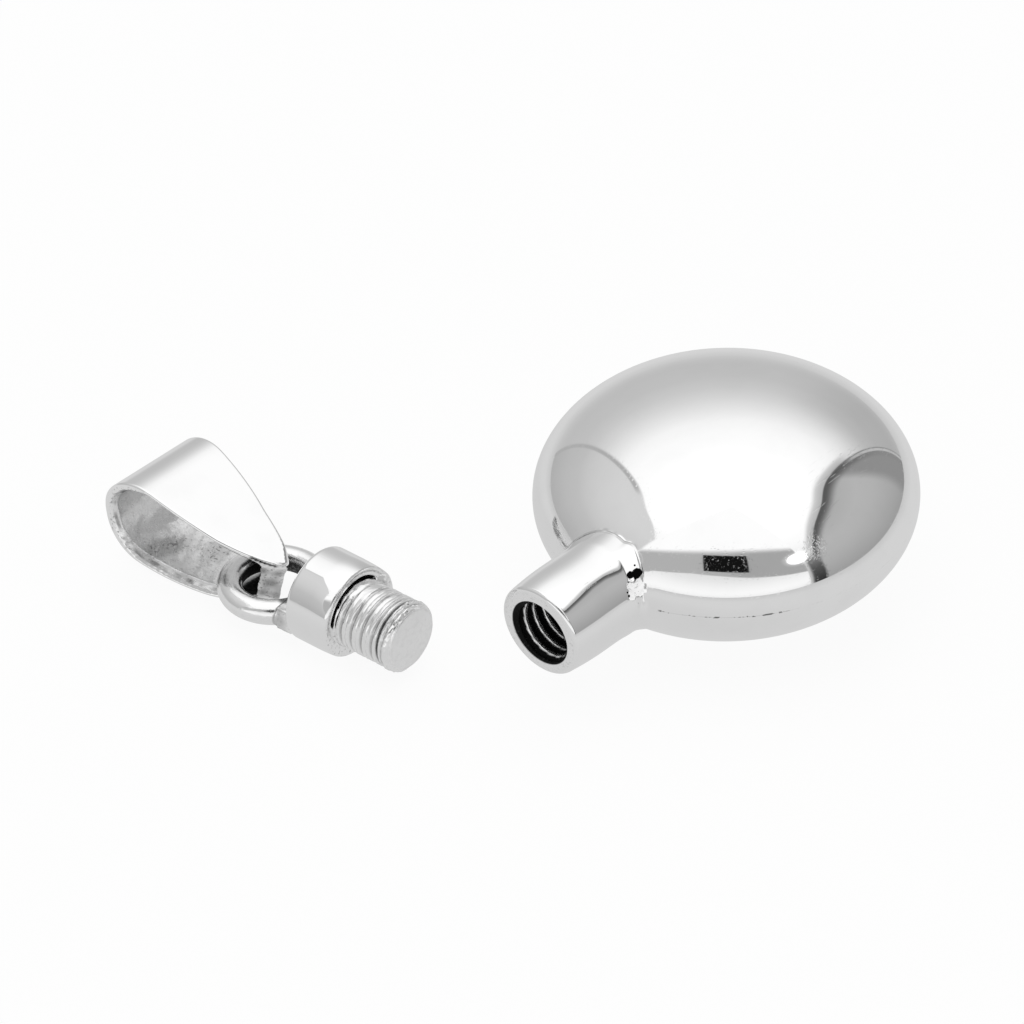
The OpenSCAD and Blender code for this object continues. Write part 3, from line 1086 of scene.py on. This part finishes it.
def bump(tree, height, depth, normal=None):
    """Bump of a height from 0 to 1, given its depth in millimetres."""
    node = tree.nodes.new("ShaderNodeBump")
    node.inputs["Strength"].default_value = 1
    node.inputs["Distance"].default_value = depth * MM
    tree.links.new(height.socket, node.inputs["Height"])
    if normal:
        tree.links.new(normal, node.inputs["Normal"])
    return node.outputs["Normal"]


def from_spot(tree, place, at):
    """Distance from a spot, in millimetres."""
    node = tree.nodes.new("ShaderNodeVectorMath")
    node.operation = "DISTANCE"
    tree.links.new(place, node.inputs[0])
    node.inputs[1].default_value = at
    return Number(tree, node.outputs["Value"])


def seam_marks(tree, place):
    """The dotted seam round the bottle's rim, plainest on its near side."""
    x, y, z = coordinates(tree, place)
    away = z.math("ABSOLUTE")
    near_side = y.between(3.4, 8.9, 0.8) * x.ramp(4, 4.4)
    dots = noise(tree, place, 5.5, 2, 0.6).ramp(0.54, 0.6)
    wide_dots = noise(tree, place, 2.6, 1).ramp(0.63, 0.66)
    line = away.ramp(0.035, 0.015) * (0.12 + 0.7 * dots) + away.ramp(0.07, 0.04) * 0.9 * wide_dots
    return line.clamp(0, 1) * (0.06 + 0.94 * near_side) * x.ramp(9.9, 9.8)


def solder_pit(tree, place):
    """The open pit in the solder at the neck, with the specks beside it."""
    uneven = noise(tree, place, 4, 1) - 0.5
    lobes = [
        (from_spot(tree, place, at) / reach + uneven).ramp(1.1, 0.95) for at, reach in SOLDER_PIT]
    pit = lobes[0]
    for lobe in lobes[1:]:
        pit = pit.math("MAXIMUM", lobe)
    return pit


def dome_specks(tree, place):
    """Small specks in the two scuffed spots on the dome."""
    scuffed = from_spot(tree, place, SCUFF).ramp(0.8, 0.4)
    rubbed = from_spot(tree, place, RUBBED).ramp(1.6, 0.9)
    specks = noise(tree, place, 9, 2).ramp(0.52, 0.62) * scuffed
    return specks + noise(tree, place, 7, 1).ramp(0.66, 0.71) * 0.4 * rubbed


def silver(name, marks=False):
    """Polished silver. The mask matte makes it rough, the darkening mask turns it dark for dark joints,
    stains and painted shade, and pitted gives it small dark holes. With marks it has the bottle's seam,
    pit and specks."""
    material = bpy.data.materials.new(name)
    material.use_nodes = True
    tree = material.node_tree
    shader = tree.nodes["Principled BSDF"]
    place = attribute(tree, "own_place").outputs["Vector"]
    matte, grime_and_shade, pitted = mask(tree, "matte"), mask(tree, "grime_and_shade"), mask(tree, "pitted")

    polish = noise(tree, place, 0.22, 1)
    blotchy = noise(tree, place, 0.5, 3)
    grain = noise(tree, place, 7, 5, 0.65)
    pits = noise(tree, place, 3.2, 3, 0.6)
    holes = noise(tree, place, 5.5, 2, 0.6).ramp(0.58, 0.68) * pitted
    scratch = noise(tree, place, 1, 3, 0.6, (0.35, 9, 9), (0.3, 0.2, 0.6)).ramp(0.62, 0.7)
    other = noise(tree, place, 1, 3, 0.6, (0.3, 11, 11), (0.1, -0.4, -0.9)).ramp(0.64, 0.71)
    scratches = (scratch + other).clamp(0, 1)

    rough = 0.025 + 0.03 * blotchy.ramp(0.35, 0.7) + 0.05 * scratches
    rough = mix(rough, 0.22 + 0.3 * grain, matte)
    tone = 0.945 - 0.02 * blotchy.ramp(0.4, 0.75) - 0.05 * matte * pits.ramp(0.55, 0.3)
    tone = mix(tone, 0.35, 0.8 * holes)
    # Dark joints, stains and painted shade darken the silver towards black.
    dirt_and_shade = (grime_and_shade * (0.75 + 0.6 * grain)).clamp(0, 1)
    tone = mix(tone, 0.03, dirt_and_shade)
    rough = mix(rough, 0.95, dirt_and_shade.ramp(0.75, 1))
    normal = bump(tree, polish, 0.002)
    normal = bump(tree, 1 - scratches, 0.0006, normal)
    if marks:
        pit = solder_pit(tree, place)
        tone = mix(mix(tone, 0.2, seam_marks(tree, place)), 0.01, pit)
        rough = mix(rough, 0.9, pit)
        normal = bump(tree, 1 - dome_specks(tree, place), 0.004, normal)
    rough_height = (0.6 * grain + 0.4 * pits.ramp(0.3, 0.6)) * matte - 0.6 * holes
    normal = bump(tree, rough_height, 0.02, normal)

    shader.inputs["Metallic"].default_value = 1
    tree.links.new(rough.socket, shader.inputs["Roughness"])
    tree.links.new(tone.socket, shader.inputs["Base Color"])
    tree.links.new(normal, shader.inputs["Normal"])
    return material


camera()
floor()
studio_world()
scene = bpy.context.scene
scene.view_settings.view_transform = "Standard"
scene.view_settings.look = "None"

neck_at, neck_axis = mount("neck_thread")
bottle = add_piece(
    "silver_bottle", "bottle",
    placement(neck_at - neck_axis * NECK_MOUNT_X * MM, neck_axis), *bottle_mesh())
bottle.data.materials.append(silver("polished_bottle", marks=True))

stem_at, stem_axis = mount("stem_thread")
stopper = add_piece(
    "silver_stopper", "stopper",
    placement(stem_at - stem_axis * STEM_MOUNT_X * MM, stem_axis), *stopper_mesh())
stopper.data.materials.append(silver("polished_stopper"))

fold_at, across_band = mount("chain_loop")
level = across_band.cross(Vector((0, 0, 1)))
along = level * math.cos(BAIL_RISE) + Vector((0, 0, math.sin(BAIL_RISE)))
bail = add_piece(
    "silver_bail", "bail",
    placement(fold_at - along * FOLD_X * MM, along), *bail_mesh())
bail.data.materials.append(silver("polished_bail"))
